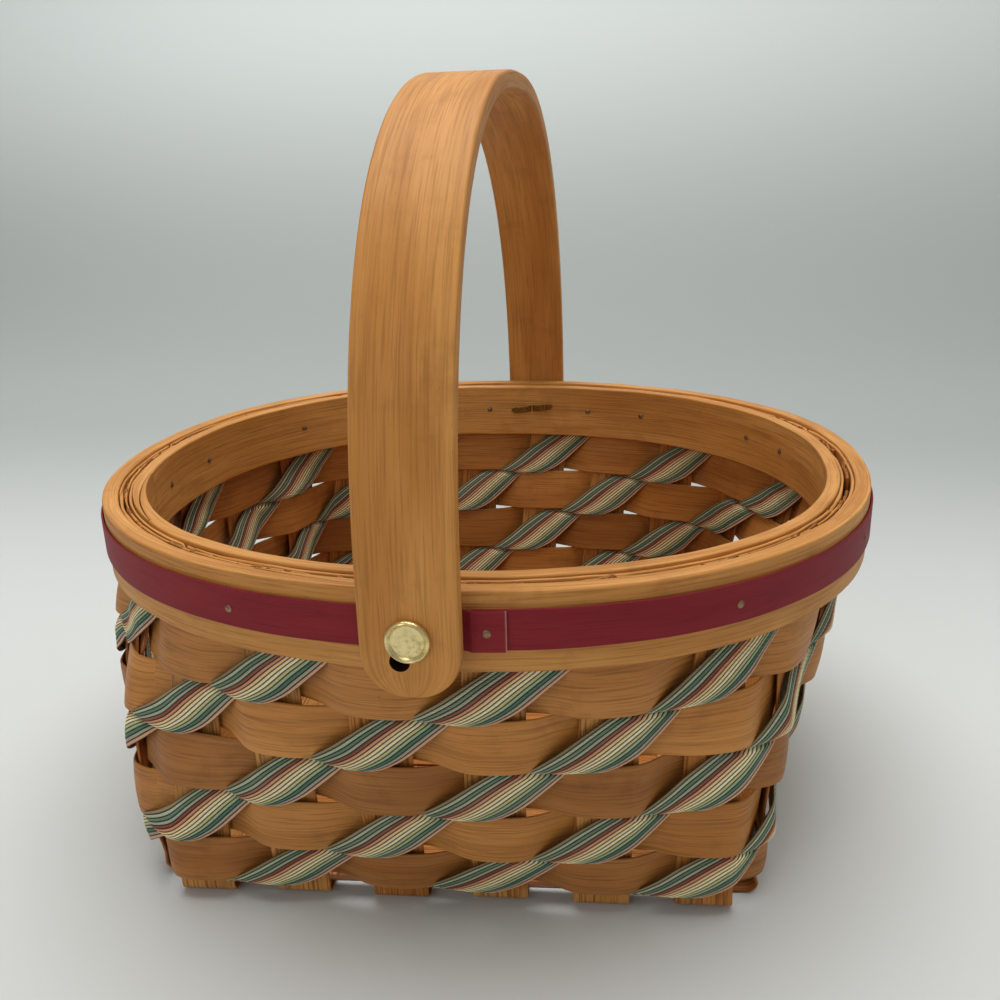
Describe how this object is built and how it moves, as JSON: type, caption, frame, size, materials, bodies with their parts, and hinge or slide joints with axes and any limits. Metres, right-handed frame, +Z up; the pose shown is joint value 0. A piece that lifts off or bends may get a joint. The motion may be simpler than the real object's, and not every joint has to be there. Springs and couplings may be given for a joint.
{
  "type": "woven basket with swing handle",
  "caption": "Woven wood-strip basket, oval rim on a square woven base, striped ribbons through the weave, painted rim band and a bentwood handle that swings on pins.",
  "frame": {"origin": "on the floor under the middle of the rim", "axes": "+Z up out of the mouth, +X along the rim's long way, +Y across the basket from the front pivot pin to the back one"},
  "size_m": [0.2952, 0.2922, 0.2758],
  "materials": {
    "stake_wood": "raw split wood, finely grooved along the grain, satin",
    "weaver_wood": "stained thin wood strip, satin",
    "hoop_wood": "stained bentwood, satin",
    "handle_wood": "stained bentwood with straight grain, satin",
    "burgundy_paint": "matt burgundy paint on a thin wood strip",
    "striped_paper": "corded ribbon in lengthwise stripes of green, cream, salmon and brown, matt",
    "brass": "polished, slightly tarnished",
    "tack_steel": "dull"
  },
  "bodies": {
    "basket": {"stake_front_to_back_1": "stake_wood", "stake_front_to_back_2": "stake_wood", "stake_front_to_back_3": "stake_wood", "stake_front_to_back_4": "stake_wood", "stake_front_to_back_5": "stake_wood", "stake_front_to_back_6": "stake_wood", "stake_side_to_side_1": "stake_wood", "stake_side_to_side_2": "stake_wood", "stake_side_to_side_3": "stake_wood", "stake_side_to_side_4": "stake_wood", "stake_side_to_side_5": "stake_wood", "stake_side_to_side_6": "stake_wood", "weaver_row_1": "weaver_wood", "weaver_row_2": "weaver_wood", "weaver_row_3": "weaver_wood", "weaver_row_4": "weaver_wood", "weaver_row_5": "weaver_wood", "ribbon_outer_01": "striped_paper", "ribbon_outer_02": "striped_paper", "ribbon_outer_03": "striped_paper", "ribbon_outer_04": "striped_paper", "ribbon_outer_05": "striped_paper", "ribbon_outer_06": "striped_paper", "ribbon_outer_07": "striped_paper", "ribbon_outer_08": "striped_paper", "ribbon_outer_09": "striped_paper", "ribbon_outer_10": "striped_paper", "ribbon_outer_11": "striped_paper", "ribbon_outer_12": "striped_paper", "ribbon_inner_01": "striped_paper", "ribbon_inner_02": "striped_paper", "ribbon_inner_03": "striped_paper", "ribbon_inner_04": "striped_paper", "ribbon_inner_05": "striped_paper", "ribbon_inner_06": "striped_paper", "ribbon_inner_07": "striped_paper", "ribbon_inner_08": "striped_paper", "ribbon_inner_09": "striped_paper", "ribbon_inner_10": "striped_paper", "ribbon_inner_11": "striped_paper", "ribbon_inner_12": "striped_paper", "outer_hoop": "hoop_wood", "inner_hoop": "hoop_wood", "painted_band": "burgundy_paint", "pivot_pin_front": "brass", "pivot_pin_back": "brass", "tack_01": "tack_steel", "tack_02": "tack_steel", "tack_03": "tack_steel", "tack_04": "tack_steel", "tack_05": "tack_steel", "tack_06": "tack_steel", "tack_07": "tack_steel", "tack_08": "tack_steel", "tack_09": "tack_steel", "tack_10": "tack_steel", "tack_11": "tack_steel", "tack_12": "tack_steel", "tack_13": "tack_steel"},
    "swing_handle": {"handle": "handle_wood"}
  },
  "joints": [
    {"name": "handle_swing", "type": "hinge", "parent": "basket", "child": "swing_handle", "pos_m": [0.0028, 0, 0.1233], "axis": [0, 1, 0], "range_deg": [-77, 77]}
  ]
}
